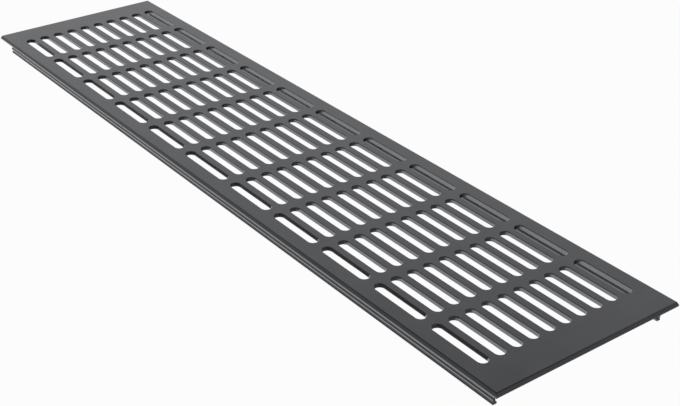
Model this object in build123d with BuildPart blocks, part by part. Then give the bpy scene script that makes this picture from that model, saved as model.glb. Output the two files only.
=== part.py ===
"""Ventilation grille: one length of extruded aluminium, with a flat slotted plate and two snap-in legs.

Millimetres. X runs along the grille, Y across it and Z up. The origin lies under the middle of the
plate, level with the feet of the legs.
"""

import math
import os

from build123d import *

# Plate, with a bevel round its top that leaves a thin upright rim
plate_length = 344.0
plate_width = 80.0
plate_thickness = 1.6
bevel_inset = 0.6
bevel_height = 1.0
top_arris = 0.2
overall_height = 8.0

# Slots, in rows across the plate and groups along it, with one longer group in the middle
slot_width = 4.0
slot_length = 24.6
middle_slot_length = 28.0
slot_bridge = 4.35
row_pitch = 7.0
least_end_land = 10.0

# Legs, measured in from the plate's edges
leg_setback = 4.3
leg_inset = 3.4
leg_thickness = 0.7

# Barbs on the outside of each leg, counted up from the foot
barb_count = 2
barb_depth = 0.4
barb_rise = 0.5
barb_pitch = 1.8
lead_in_height = 0.2
lead_in_draft = 0.15

# Toe and spring ridge on the inside of each leg
toe_depth = 0.6
toe_height = 0.7
ridge_depth = 0.35
ridge_rise = 0.4
ridge_fall = 0.7
ridge_height = 3.8

# Sizes that follow
underside = overall_height - plate_thickness
rim_height = plate_thickness - bevel_height
bevel_angle = math.degrees(math.atan2(bevel_inset, bevel_height))
leg_length = plate_length - 2 * leg_setback
leg_face = plate_width / 2 - leg_inset
leg_back = leg_face - leg_thickness
barb_tip = leg_face + barb_depth
toe_tip = leg_back - toe_depth
ridge_tip = leg_back - ridge_depth
group_pitch = slot_length + slot_bridge
first_group = (middle_slot_length + slot_length) / 2 + slot_bridge

# As many slots as fit: groups up to the land left at each end, and rows between the two legs
groups_each_way = int((plate_length / 2 - least_end_land - middle_slot_length / 2) // group_pitch)
slot_rows = int((2 * toe_tip - slot_width) // row_pitch) + 1


def leg_outline():
    """Corners of one leg's section as (y, z), from the foot up the barbs and down the back."""
    points = [
        (toe_tip, 0),
        (barb_tip - lead_in_draft, 0),
    ]
    for barb in range(barb_count):
        tip_height = lead_in_height + barb * barb_pitch
        points.append((barb_tip, tip_height))
        points.append((leg_face, tip_height + barb_rise))
    points += [
        (leg_face, underside),
        (leg_back, underside),
        (leg_back, ridge_height + ridge_rise),
        (ridge_tip, ridge_height),
        (leg_back, ridge_height - ridge_fall),
        (leg_back, toe_height + toe_depth),
        (toe_tip, toe_height),
    ]
    return points


with BuildPart() as grille:
    # The plate: an upright rim, then a bevel all round up to the top face, with its edges eased
    with BuildSketch(Plane.XY.offset(underside)):
        Rectangle(plate_length, plate_width)
    extrude(amount=rim_height)
    with BuildSketch(Plane.XY.offset(underside + rim_height)):
        Rectangle(plate_length, plate_width)
    extrude(amount=bevel_height, taper=bevel_angle)
    fillet(grille.faces().sort_by(Axis.Z)[-1].edges(), radius=top_arris)

    # The two legs, cut back from the plate's short edges
    with BuildSketch(Plane.YZ.offset(-leg_length / 2)):
        with BuildLine():
            Polyline(*leg_outline(), close=True)
        make_face()
        mirror(about=Plane.YZ)
    extrude(amount=leg_length)

    # The slots, punched through the plate
    with BuildSketch(Plane.XY.offset(underside)):
        with GridLocations(0, row_pitch, 1, slot_rows):
            SlotOverall(middle_slot_length, slot_width)
        for group in range(groups_each_way):
            centre = first_group + group * group_pitch
            with GridLocations(2 * centre, row_pitch, 2, slot_rows):
                SlotOverall(slot_length, slot_width)
    extrude(amount=plate_thickness, mode=Mode.SUBTRACT)

grille.part.label = "grille"

os.makedirs("parts", exist_ok=True)
export_step(grille.part, "parts/grille.step")
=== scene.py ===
"""Black anodised ventilation grille on a white studio floor, laid out as an add-on and run as a script.

Metres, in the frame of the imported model: X along the grille, Y across it, Z up, feet on the floor.
"""

import math

import bmesh
import bpy
from bpy.props import FloatProperty, FloatVectorProperty, IntProperty, PointerProperty, StringProperty
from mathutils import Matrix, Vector


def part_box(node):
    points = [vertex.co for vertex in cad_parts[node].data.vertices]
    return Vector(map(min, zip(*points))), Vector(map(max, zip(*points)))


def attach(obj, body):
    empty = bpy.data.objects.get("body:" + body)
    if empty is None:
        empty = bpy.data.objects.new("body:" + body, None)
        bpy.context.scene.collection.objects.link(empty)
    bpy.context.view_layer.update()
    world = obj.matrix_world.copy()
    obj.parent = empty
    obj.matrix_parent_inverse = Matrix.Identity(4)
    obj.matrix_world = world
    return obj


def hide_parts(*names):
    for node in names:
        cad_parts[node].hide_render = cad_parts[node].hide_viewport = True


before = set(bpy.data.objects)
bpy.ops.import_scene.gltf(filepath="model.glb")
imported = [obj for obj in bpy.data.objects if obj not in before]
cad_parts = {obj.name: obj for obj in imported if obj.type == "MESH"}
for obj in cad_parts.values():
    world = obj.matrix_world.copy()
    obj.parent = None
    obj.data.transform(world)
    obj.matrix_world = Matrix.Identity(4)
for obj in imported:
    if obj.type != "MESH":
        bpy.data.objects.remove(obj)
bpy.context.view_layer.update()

bl_info = {
    "name": "Ventilation grille",
    "version": (1, 0, 0),
    "blender": (4, 5, 0),
    "location": "3D View > Sidebar > Grille",
    "description": "Builds a slotted ventilation grille with snap-in legs, its finish and its studio",
    "category": "Add Mesh",
}

MM = 0.001
NODE = "grille"
WHITE = (1.0, 1.0, 1.0, 1.0)

# Mesh detail: facets along a slot's half-round end and round the floor, and segments of a round
SLOT_END_STEPS = 14
FLOOR_SIDES = 96
ROUND_SEGMENTS = 3
FINE_ROUND_SEGMENTS = 2

# Points closer than this are one point
TOLERANCE = 0.001 * MM
# Least turn of an edge that gets a round, in radians: on the plate, and on the legs
PLATE_CORNER = 0.2
LEG_CORNER = 0.1
# A flat side is wider than any facet of a round, and its normal has almost nothing along X or along Y
WIDEST_FACET = 0.12 * MM
SQUARE = 0.001

# Faces cut across the profile carry this attribute, which makes them rougher and darkens their colour as
# painted shade.
# Their normal has less than this along Z, and the attribute grows from 0 to 1 between these two amounts
# along X
CUT_FACE_AND_SHADE = "cut_face_and_shade"
STEEPEST_CUT = 0.25
CUT_TURNS = (0.45, 0.8)

# Brightness of the studio, against the sine of the height above the horizon
CEILING_LEVELS = ((0.36, 1.0), (0.5, 0.84), (0.574, 0.68), (0.67, 0.44), (0.77, 0.24), (1.0, 0.15))
# The same, against how far a direction points to the camera's side, from -1 behind the object to 1
ROOM_LEVELS = ((-0.62, 1.0), (-0.39, 0.62), (-0.1, 0.42), (0.3, 0.4))

low_corner, high_corner = (Vector(corner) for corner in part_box(NODE))


def length(name, description, millimetres):
    """A size property, with its default given in millimetres."""
    return FloatProperty(
        name=name, description=description, default=millimetres * MM, min=0.0,
        unit="LENGTH", subtype="DISTANCE", precision=5,
    )


def angle(name, description, degrees):
    """An angle property, with its default given in degrees."""
    return FloatProperty(
        name=name, description=description, default=math.radians(degrees),
        unit="ROTATION", subtype="ANGLE",
    )


def share(name, description, default):
    """A property between none and all."""
    return FloatProperty(
        name=name, description=description, default=default, min=0.0, max=1.0, subtype="FACTOR",
    )


class PlateSizes(bpy.types.PropertyGroup):
    """Sizes of the slotted plate, as in the part's source, and of its fine rounds."""

    plate_thickness: length("Plate thickness", "Thickness of the slotted plate", 1.6)
    bevel_inset: length("Bevel inset", "How far the bevel round the plate draws in", 0.6)
    bevel_height: length("Bevel height", "Height of the bevel above the upright rim", 1.0)
    top_arris: length("Top arris", "Round along the plate's top edges and its corners", 0.2)
    rim_arris: length("Rim arris", "Round between the bevel and the upright rim", 0.06)
    lower_arris: length("Lower arris", "Round along the plate's lower edges", 0.08)
    edge_strip: length("Edge strip", "Width of the flat strips that the mesh keeps by the edges", 0.5)
    slot_width: length("Slot width", "Width of each slot", 4.0)
    slot_length: length("Slot length", "Length of each slot outside the middle group", 24.6)
    middle_slot_length: length("Middle slot length", "Length of the middle group's slots", 28.0)
    slot_bridge: length("Slot bridge", "Land between one group of slots and the next", 4.35)
    row_pitch: length("Row pitch", "Distance from one row of slots to the next", 7.0)
    least_end_land: length("Least end land", "Least land between slots and short edges", 10.0)
    slot_arris: length("Slot arris", "Round that the punch pulls along the slots' top edges", 0.2)
    slot_lower_arris: length("Slot lower arris", "Round along the slots' lower edges", 0.08)


class LegSizes(bpy.types.PropertyGroup):
    """Sizes of the two snap-in legs, as in the part's source, and of their fine rounds."""

    leg_setback: length("Leg setback", "From the plate's short edge in to the end of a leg", 4.3)
    leg_inset: length("Leg inset", "From the plate's long edge in to a leg's outer face", 3.4)
    leg_thickness: length("Leg thickness", "Thickness of a leg between barbs and ridges", 0.7)
    barb_count: IntProperty(
        name="Barbs", description="Barbs on the outside of each leg", default=2, min=1,
    )
    barb_depth: length("Barb depth", "How far a barb stands out of the leg's face", 0.4)
    barb_rise: length("Barb rise", "Height of a barb's steep upper side", 0.5)
    barb_pitch: length("Barb pitch", "Height from one barb to the next", 1.8)
    lead_in_height: length("Lead-in height", "Height of the lowest barb's tip", 0.2)
    lead_in_draft: length("Lead-in draft", "How far the foot draws in below that tip", 0.15)
    toe_depth: length("Toe depth", "How far the toe stands in from the leg's back", 0.6)
    toe_height: length("Toe height", "Height of the toe's upright face", 0.7)
    ridge_depth: length("Ridge depth", "How far the spring ridge stands in from the back", 0.35)
    ridge_rise: length("Ridge rise", "Height of the ridge's upper side", 0.4)
    ridge_fall: length("Ridge fall", "Height of the ridge's lower side", 0.7)
    ridge_height: length("Ridge height", "Height of the ridge's tip above the feet", 3.8)
    leg_arris: length("Leg arris", "Round along the legs' edges", 0.05)


class FinishSettings(bpy.types.PropertyGroup):
    """Colours and gloss of the black anodised surface."""

    black: StringProperty(
        name="Black", description="Colour that the dyed metal mirrors, as sRGB hex", default="#808184",
    )
    black_deep: StringProperty(
        name="Deeper black", description="The same where the dye took more", default="#68696c",
    )
    # Painted shade: a darker colour for the faces cut across the profile, which turn along X
    cut_black_painted_shade: StringProperty(
        name="Cut black", description="The same on faces cut across the profile", default="#3a3a3c",
    )
    roughness: share("Roughness", "Roughness of the satin surface", 0.15)
    cut_roughness: share("Cut roughness", "Roughness of the faces cut across the profile", 0.5)
    patch_size: length("Patch size", "Size of the faint uneven patches of the dye", 12.0)
    grain_size: length("Grain size", "Size of the etched grain, drawn coarser so that it shows", 0.8)
    line_length: length("Line length", "Length of the faint lines that the die leaves", 90.0)
    line_width: length("Line width", "Width of those lines, drawn coarser so that they show", 0.5)


class StageSettings(bpy.types.PropertyGroup):
    """Floor, light and camera."""

    floor_colour: StringProperty(
        name="Floor", description="Colour of the paper, as sRGB hex", default="#e8e8e8",
    )
    floor_seen: share("Floor seen", "Share of plain white in the floor as seen", 0.97)
    floor_mirrored: share("Floor mirrored", "Share of plain white in the floor's reflection", 1.0)
    floor_radius: FloatProperty(
        name="Floor radius", description="Radius of the round floor", default=6.0,
        unit="LENGTH", subtype="DISTANCE",
    )
    sweep_light: share("Sweep light", "Brightness of the studio's sweep behind the object", 0.62)
    camera_place: FloatVectorProperty(
        name="Camera place", description="Where the camera stands",
        default=(0.38083, -0.25323, 0.23761), unit="LENGTH", subtype="XYZ",
    )
    camera_turn: angle("Camera turn", "Turn of the view from +Y towards -X", 53.10)
    camera_dip: angle("Camera dip", "How far the camera looks down", 29.38)
    camera_lens: FloatProperty(
        name="Lens", description="Focal length of the camera, in millimetres", default=67.88,
    )
    camera_sensor: FloatProperty(
        name="Sensor", description="Width of the camera's picture, in millimetres", default=36.0,
    )


def linear(hex_colour):
    """sRGB hex to linear RGBA."""
    channels = [int(hex_colour[place:place + 2], 16) / 255 for place in (1, 3, 5)]
    toned = [
        value / 12.92 if value <= 0.04045 else ((value + 0.055) / 1.055) ** 2.4
        for value in channels
    ]
    return (*toned, 1.0)


def add_node(tree, kind, settings=None, links=None):
    """Adds a node, sets its properties and sockets, and links its inputs."""
    node = tree.nodes.new(kind)
    for name, value in (settings or {}).items():
        if isinstance(name, str) and hasattr(node, name):
            setattr(node, name, value)
        else:
            node.inputs[name].default_value = value
    for name, source in (links or {}).items():
        tree.links.new(source, node.inputs[name])
    return node


def level_ramp(tree, value, levels):
    """Brightness against a value from -1 to 1, given as (value, brightness) stops."""
    place = add_node(tree, "ShaderNodeMath", {"operation": "MULTIPLY_ADD", 1: 0.5, 2: 0.5}, {0: value})
    ramp = add_node(tree, "ShaderNodeValToRGB", None, {"Fac": place.outputs[0]})
    stops = ramp.color_ramp.elements
    while len(stops) < len(levels):
        stops.new(0.5)
    for stop, (value_there, level) in zip(stops, levels):
        stop.position = (value_there + 1) / 2
        stop.color = (level, level, level, 1.0)
    return ramp.outputs["Color"]


def new_material(name):
    """An empty node material with its output."""
    material = bpy.data.materials.new(name)
    material.use_nodes = True
    material.node_tree.nodes.clear()
    return material, add_node(material.node_tree, "ShaderNodeOutputMaterial")


def uneven_dye(tree, place, finish):
    """Unevenness from 0 to 1: half of it patches of the dye, and a quarter each grain and die lines."""
    patches = add_node(
        tree, "ShaderNodeTexNoise", {"Scale": 1 / finish.patch_size, "Detail": 3.0}, {"Vector": place}
    )
    grain = add_node(
        tree, "ShaderNodeTexNoise", {"Scale": 1 / finish.grain_size, "Detail": 2.0}, {"Vector": place}
    )
    across = 1 / finish.line_width
    drawn = add_node(
        tree, "ShaderNodeMapping", {"Scale": (1 / finish.line_length, across, across)}, {"Vector": place}
    )
    lines = add_node(
        tree, "ShaderNodeTexNoise", {"Scale": 1.0, "Detail": 2.0}, {"Vector": drawn.outputs[0]}
    )
    fine = add_node(
        tree, "ShaderNodeMath", {"operation": "ADD"}, {0: grain.outputs["Fac"], 1: lines.outputs["Fac"]}
    )
    quarter = add_node(tree, "ShaderNodeMath", {"operation": "MULTIPLY", 1: 0.25}, {0: fine.outputs[0]})
    uneven = add_node(
        tree, "ShaderNodeMath", {"operation": "MULTIPLY_ADD", 1: 0.5},
        {0: patches.outputs["Fac"], 2: quarter.outputs[0]},
    )
    return uneven.outputs[0]


def black_anodised_aluminium(finish):
    """Extruded aluminium, etched, dyed black and sealed.

    The metal shows through the thin dyed layer, so the surface mirrors what is round it, darkly and a
    little blurred. The faces cut across the profile are rougher, so they are duller, and their colour is
    darkened
    as painted shade: the upright rim and the leg ends at the short edges, and the round ends of the
    slots.
    """
    material, output = new_material("black_anodised_aluminium")
    tree = material.node_tree
    place = add_node(tree, "ShaderNodeTexCoord").outputs["Object"]
    # The cut-face attribute raises the roughness and darkens the colour as painted shade
    cut = add_node(tree, "ShaderNodeAttribute", {"attribute_name": CUT_FACE_AND_SHADE}).outputs["Fac"]
    drawn_colour = add_node(
        tree, "ShaderNodeMix",
        {"data_type": "RGBA", 6: linear(finish.black), 7: linear(finish.black_deep)},
        {0: uneven_dye(tree, place, finish)},
    )
    # Painted shade: faces turned along X take the darker colour
    colour = add_node(
        tree, "ShaderNodeMix", {"data_type": "RGBA", 7: linear(finish.cut_black_painted_shade)},
        {0: cut, 6: drawn_colour.outputs[2]},
    )
    roughness = add_node(
        tree, "ShaderNodeMix", {"data_type": "FLOAT", 2: finish.roughness, 3: finish.cut_roughness},
        {0: cut},
    )
    shader = add_node(
        tree, "ShaderNodeBsdfPrincipled", {"Metallic": 1.0},
        {"Base Color": colour.outputs[2], "Roughness": roughness.outputs[0]},
    )
    tree.links.new(shader.outputs["BSDF"], output.inputs["Surface"])
    return material


def background_paper(stage):
    """Matt white background paper, seen as white and still shaded by the object."""
    material, output = new_material("background_paper")
    tree = material.node_tree
    rays = add_node(tree, "ShaderNodeLightPath")
    paper = add_node(
        tree, "ShaderNodeBsdfPrincipled", {"Base Color": linear(stage.floor_colour), "Roughness": 0.9}
    )
    white = add_node(tree, "ShaderNodeEmission", {"Color": WHITE, "Strength": 1.0})
    mirrored = add_node(
        tree, "ShaderNodeMath", {"operation": "MULTIPLY", 1: stage.floor_mirrored},
        {0: rays.outputs["Is Glossy Ray"]},
    )
    white_share = add_node(
        tree, "ShaderNodeMath", {"operation": "MULTIPLY_ADD", 1: stage.floor_seen},
        {0: rays.outputs["Is Camera Ray"], 2: mirrored.outputs[0]},
    )
    mixed = add_node(
        tree, "ShaderNodeMixShader", None,
        {0: white_share.outputs[0], 1: paper.outputs[0], 2: white.outputs[0]},
    )
    tree.links.new(mixed.outputs[0], output.inputs["Surface"])
    return material


def studio_light(tree, stage):
    """White as seen, and as light a bright sweep behind the object, a dim ceiling and a dimmer room."""
    rays = add_node(tree, "ShaderNodeLightPath")
    way = add_node(tree, "ShaderNodeTexCoord").outputs["Generated"]
    height = add_node(tree, "ShaderNodeSeparateXYZ", None, {0: way}).outputs["Z"]
    camera_side = (math.sin(stage.camera_turn), -math.cos(stage.camera_turn), 0.0)
    facing = add_node(
        tree, "ShaderNodeVectorMath", {"operation": "DOT_PRODUCT", 1: camera_side}, {0: way}
    )
    ceiling = level_ramp(tree, height, CEILING_LEVELS)
    room = level_ramp(tree, facing.outputs["Value"], ROOM_LEVELS)
    level = add_node(tree, "ShaderNodeMath", {"operation": "MULTIPLY"}, {0: ceiling, 1: room})
    strength = add_node(
        tree, "ShaderNodeMath", {"operation": "MULTIPLY", 1: stage.sweep_light}, {0: level.outputs[0]}
    )
    seen = add_node(tree, "ShaderNodeBackground", {"Color": WHITE, "Strength": 1.0})
    light = add_node(
        tree, "ShaderNodeBackground", {"Color": WHITE}, {"Strength": strength.outputs[0]}
    )
    mixed = add_node(
        tree, "ShaderNodeMixShader", None,
        {0: rays.outputs["Is Camera Ray"], 1: light.outputs[0], 2: seen.outputs[0]},
    )
    add_node(tree, "ShaderNodeOutputWorld", None, {"Surface": mixed.outputs[0]})


def at(value, target):
    """Whether two lengths are the same to a micrometre."""
    return abs(value - target) < TOLERANCE


def only(kind, items):
    """The items of one kind of mesh element."""
    return [item for item in items if isinstance(item, kind)]


def sweep_round(bm, points, corners, steps):
    """Sweeps a chain of points round a closed route of turns and straights about upright axes.

    Each corner is the turn's centre, its angle and the straight run after it.
    """
    start = [bm.verts.new(point) for point in points]
    leading = start + [bm.edges.new(pair) for pair in zip(start, start[1:])]
    for centre, turn, run in corners:
        spun = bmesh.ops.spin(
            bm, geom=leading, cent=centre, axis=(0, 0, 1), angle=turn, steps=steps, use_duplicate=False
        )
        last = only(bmesh.types.BMEdge, spun["geom_last"])
        drawn = bmesh.ops.extrude_edge_only(bm, edges=last)["geom"]
        moved = only(bmesh.types.BMVert, drawn)
        bmesh.ops.translate(bm, verts=moved, vec=run)
        leading = [item for item in drawn if not isinstance(item, bmesh.types.BMFace)]


def slot_route(x):
    """Turns and straights of a slot whose round ends centre on x and -x, clockwise from its +Y side."""
    return [
        (Vector((x, 0, 0)), -math.pi, Vector((-2 * x, 0, 0))),
        (Vector((-x, 0, 0)), -math.pi, Vector((2 * x, 0, 0))),
    ]


def level_corners(bm, height):
    """Edges at one height where two faces meet at a corner."""
    return [
        edge for edge in bm.edges
        if len(edge.link_faces) == 2 and edge.calc_face_angle(0.0) > PLATE_CORNER
        and all(at(vert.co.z, height) for vert in edge.verts)
    ]


def round_edges(bm, edges, radius, segments):
    """Rounds edges with a bevel."""
    bmesh.ops.bevel(
        bm, geom=edges, offset=radius, offset_type="OFFSET", segments=segments,
        profile=0.5, affect="EDGES", material=-1, clamp_overlap=True,
    )


def slot_mesh(sizes, slot_length, underside, top):
    """The wall of one slot, with its top and lower edges rounded and a strip of land round it."""
    radius = sizes.slot_width / 2
    land = 2 * sizes.slot_arris
    end = slot_length / 2 - radius
    points = [
        Vector((end, radius + land, top)),
        Vector((end, radius, top)),
        Vector((end, radius, underside)),
        Vector((end, radius + land, underside)),
    ]
    bm = bmesh.new()
    sweep_round(bm, points, slot_route(end), SLOT_END_STEPS)
    bmesh.ops.remove_doubles(bm, verts=bm.verts, dist=TOLERANCE)
    bmesh.ops.recalc_face_normals(bm, faces=bm.faces)
    round_edges(bm, level_corners(bm, top), sizes.slot_arris, ROUND_SEGMENTS)
    round_edges(bm, level_corners(bm, underside), sizes.slot_lower_arris, ROUND_SEGMENTS)
    return bm


def rim_mesh(sizes, half_length, half_width, underside, top):
    """The plate's outer edge: an upright rim, the bevel above it, and a strip of the flat faces."""
    bm = bmesh.new()
    bmesh.ops.create_grid(bm, x_segments=1, y_segments=1, size=1.0)
    bmesh.ops.scale(bm, vec=(half_length, half_width, 1.0), verts=bm.verts)
    bmesh.ops.translate(bm, vec=(0, 0, underside), verts=bm.verts)
    floor_face = bm.faces[:][0]
    loop = bm.edges[:]
    reach = 0.0
    rim_height = sizes.plate_thickness - sizes.bevel_height
    steps = ((rim_height, 0.0), (sizes.bevel_height, sizes.bevel_inset), (0.0, sizes.edge_strip))
    for rise, draw_in in steps:
        drawn = bmesh.ops.extrude_edge_only(bm, edges=loop)["geom"]
        moved = only(bmesh.types.BMVert, drawn)
        loop = [
            edge for edge in only(bmesh.types.BMEdge, drawn)
            if all(vert in moved for vert in edge.verts)
        ]
        before, reach = reach, reach + draw_in
        factors = ((size - reach) / (size - before) for size in (half_length, half_width))
        bmesh.ops.translate(bm, vec=(0, 0, rise), verts=moved)
        bmesh.ops.scale(bm, vec=(*factors, 1.0), verts=moved)
    bmesh.ops.inset_region(bm, faces=[floor_face], thickness=sizes.edge_strip)
    bmesh.ops.delete(bm, geom=[floor_face], context="FACES_ONLY")
    bmesh.ops.recalc_face_normals(bm, faces=bm.faces)

    mitres = [
        edge for edge in bm.edges
        if len(edge.link_faces) == 2 and not at(edge.verts[0].co.z, edge.verts[1].co.z)
    ]
    round_edges(bm, mitres + level_corners(bm, top), sizes.top_arris, ROUND_SEGMENTS)
    round_edges(bm, level_corners(bm, underside + rim_height), sizes.rim_arris, FINE_ROUND_SEGMENTS)
    round_edges(bm, level_corners(bm, underside), sizes.lower_arris, FINE_ROUND_SEGMENTS)
    return bm


def leg_corners(sizes, leg_face, underside):
    """Corners of one leg's section as (y, z), down the outside, over the barbs and up the back."""
    leg_back = leg_face - sizes.leg_thickness
    toe_tip = leg_back - sizes.toe_depth
    barb_tip = leg_face + sizes.barb_depth
    corners = [(leg_face, underside)]
    for barb in reversed(range(sizes.barb_count)):
        tip_height = sizes.lead_in_height + barb * sizes.barb_pitch
        corners.append((leg_face, tip_height + sizes.barb_rise))
        corners.append((barb_tip, tip_height))
    corners += [
        (barb_tip - sizes.lead_in_draft, 0.0),
        (toe_tip, 0.0),
        (toe_tip, sizes.toe_height),
        (leg_back, sizes.toe_height + sizes.toe_depth),
        (leg_back, sizes.ridge_height - sizes.ridge_fall),
        (leg_back - sizes.ridge_depth, sizes.ridge_height),
        (leg_back, sizes.ridge_height + sizes.ridge_rise),
        (leg_back, underside),
    ]
    return corners


def add_leg(bm, sizes, leg_face, underside, half_length, side):
    """One leg, drawn along X, capped at both ends and open where it joins the plate."""
    start = [
        bm.verts.new((-half_length, side * y, z + low_corner.z))
        for y, z in leg_corners(sizes, leg_face, underside - low_corner.z)
    ]
    chain = [bm.edges.new(pair) for pair in zip(start, start[1:])]
    drawn = bmesh.ops.extrude_edge_only(bm, edges=chain)["geom"]
    far = only(bmesh.types.BMVert, drawn)
    bmesh.ops.translate(bm, verts=far, vec=(2 * half_length, 0, 0))
    long_edges = [
        edge for edge in bm.edges
        if len(edge.link_faces) == 2 and edge.verts[0].co.y * side > 0
        and not at(edge.verts[0].co.x, edge.verts[1].co.x)
        and edge.calc_face_angle(0.0) > LEG_CORNER
        and edge.verts[0].co.z < underside and not at(edge.verts[0].co.z, underside)
    ]
    round_edges(bm, long_edges, sizes.leg_arris, FINE_ROUND_SEGMENTS)
    for x in (-half_length, half_length):
        outline = [
            edge for edge in bm.edges
            if edge.is_boundary and all(at(vert.co.x, x) and vert.co.y * side > 0 for vert in edge.verts)
        ]
        bmesh.ops.contextual_create(bm, geom=outline)


def add_copies(bm, part, places):
    """Adds a copy of a part at each (x, y) and frees the part."""
    mesh = bpy.data.meshes.new("part")
    part.to_mesh(mesh)
    part.free()
    for x, y in places:
        before = len(bm.verts)
        bm.from_mesh(mesh)
        bm.verts.ensure_lookup_table()
        bmesh.ops.translate(bm, verts=bm.verts[before:], vec=(x, y, 0))
    bpy.data.meshes.remove(mesh)


def fill_level(bm, height):
    """Fills the flat face at one height round every opening in it."""
    border = [
        edge for edge in bm.edges
        if edge.is_boundary and all(at(vert.co.z, height) for vert in edge.verts)
    ]
    bmesh.ops.triangle_fill(bm, edges=border, use_beauty=True, use_dissolve=False, normal=(0, 0, 1))


def mark_cut_and_shaded_faces(bm):
    """Marks upright faces that are sawn or punched across the profile, by how far they look along it,
    for their rougher finish and their painted shade.
    """
    layer = bm.faces.layers.float.new(CUT_FACE_AND_SHADE)
    first, full = CUT_TURNS
    for face in bm.faces:
        if abs(face.normal.z) < STEEPEST_CUT:
            face[layer] = min(1.0, max(0.0, (abs(face.normal.x) - first) / (full - first)))


def is_flat(face):
    """Whether a face is one of the flat sides, and neither a facet of a round nor of a slot's end."""
    width = face.calc_area() / max(edge.calc_length() for edge in face.edges)
    square = min(abs(face.normal.x), abs(face.normal.y)) < SQUARE
    return square and width > WIDEST_FACET


def slot_groups(sizes, half_length):
    """The slots' lengths, each with the places along X of the groups that have it."""
    group_pitch = sizes.slot_length + sizes.slot_bridge
    first_group = (sizes.middle_slot_length + sizes.slot_length) / 2 + sizes.slot_bridge
    room = half_length - sizes.least_end_land - sizes.middle_slot_length / 2
    places = [first_group + step * group_pitch for step in range(int(room // group_pitch))]
    mirrored = [-place for place in reversed(places)]
    return (sizes.slot_length, mirrored + places), (sizes.middle_slot_length, [0.0])


def slot_rows(plate, legs, leg_face):
    """Places across Y of as many rows of slots as fit between the two legs."""
    toe_tip = leg_face - legs.leg_thickness - legs.toe_depth
    rows = int((2 * toe_tip - plate.slot_width) // plate.row_pitch) + 1
    return [(row - (rows - 1) / 2) * plate.row_pitch for row in range(rows)]


class GRILLE_OT_profile(bpy.types.Operator):
    """Builds the slotted plate and its legs as one piece"""

    bl_idname = "grille.build_profile"
    bl_label = "Build grille"

    def execute(self, context):
        plate = context.scene.grille_plate
        legs = context.scene.grille_legs
        half_length, half_width, top = high_corner
        underside = top - plate.plate_thickness
        leg_face = half_width - legs.leg_inset

        bm = bmesh.new()
        add_copies(bm, rim_mesh(plate, half_length, half_width, underside, top), [(0, 0)])
        rows = slot_rows(plate, legs, leg_face)
        for slot_length, groups in slot_groups(plate, half_length):
            slot = slot_mesh(plate, slot_length, underside, top)
            add_copies(bm, slot, [(x, y) for x in groups for y in rows])
        for side in (-1, 1):
            add_leg(bm, legs, leg_face, underside, half_length - legs.leg_setback, side)
        for height in (top, underside):
            fill_level(bm, height)
        bmesh.ops.remove_doubles(bm, verts=bm.verts, dist=TOLERANCE)
        bmesh.ops.recalc_face_normals(bm, faces=bm.faces)
        open_edges = [edge for edge in bm.edges if not edge.is_manifold]
        if open_edges:
            raise RuntimeError(f"the grille has {len(open_edges)} open edges")

        mark_cut_and_shaded_faces(bm)
        for face in bm.faces:
            face.smooth = not is_flat(face)
        mesh = bpy.data.meshes.new("slotted_profile")
        bm.to_mesh(mesh)
        bm.free()
        mesh.materials.append(black_anodised_aluminium(context.scene.grille_finish))
        piece = bpy.data.objects.new("slotted_profile", mesh)
        context.scene.collection.objects.link(piece)
        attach(piece, "root")
        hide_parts(NODE)
        return {"FINISHED"}


class GRILLE_OT_stage(bpy.types.Operator):
    """Lays the white floor, lights it and sets the camera"""

    bl_idname = "grille.build_stage"
    bl_label = "Build stage"

    def execute(self, context):
        scene = context.scene
        stage = scene.grille_stage
        bm = bmesh.new()
        bmesh.ops.create_circle(bm, cap_ends=True, segments=FLOOR_SIDES, radius=stage.floor_radius)
        mesh = bpy.data.meshes.new("floor")
        bm.to_mesh(mesh)
        bm.free()
        mesh.materials.append(background_paper(stage))
        floor = bpy.data.objects.new("floor", mesh)
        scene.collection.objects.link(floor)

        scene.world = bpy.data.worlds.new("studio")
        scene.world.use_nodes = True
        scene.world.node_tree.nodes.clear()
        studio_light(scene.world.node_tree, stage)

        camera = bpy.data.objects.new("camera", bpy.data.cameras.new("camera"))
        camera.location = stage.camera_place
        camera.rotation_euler = (math.pi / 2 - stage.camera_dip, 0, stage.camera_turn)
        camera.data.lens = stage.camera_lens
        camera.data.sensor_width = stage.camera_sensor
        camera.data.clip_start = 10 * MM
        scene.collection.objects.link(camera)
        scene.camera = camera
        scene.view_settings.view_transform = "Standard"
        return {"FINISHED"}


class GRILLE_PT_panel(bpy.types.Panel):
    """Sizes, finish and stage of the grille"""

    bl_label = "Ventilation grille"
    bl_idname = "GRILLE_PT_panel"
    bl_space_type = "VIEW_3D"
    bl_region_type = "UI"
    bl_category = "Grille"

    def draw(self, context):
        for name in SETTINGS:
            settings = getattr(context.scene, name)
            box = self.layout.box()
            for item in settings.bl_rna.properties:
                if item.identifier not in ("rna_type", "name"):
                    box.prop(settings, item.identifier)
        for operator in OPERATORS:
            self.layout.operator(operator.bl_idname)


SETTINGS = {
    "grille_plate": PlateSizes,
    "grille_legs": LegSizes,
    "grille_finish": FinishSettings,
    "grille_stage": StageSettings,
}
OPERATORS = (GRILLE_OT_profile, GRILLE_OT_stage)
CLASSES = (*SETTINGS.values(), *OPERATORS, GRILLE_PT_panel)


def register():
    for each in CLASSES:
        bpy.utils.register_class(each)
    for name, group in SETTINGS.items():
        setattr(bpy.types.Scene, name, PointerProperty(type=group))


def unregister():
    for name in SETTINGS:
        delattr(bpy.types.Scene, name)
    for each in reversed(CLASSES):
        bpy.utils.unregister_class(each)


def main():
    register()
    bpy.ops.grille.build_profile()
    bpy.ops.grille.build_stage()


if __name__ == "__main__":
    main()
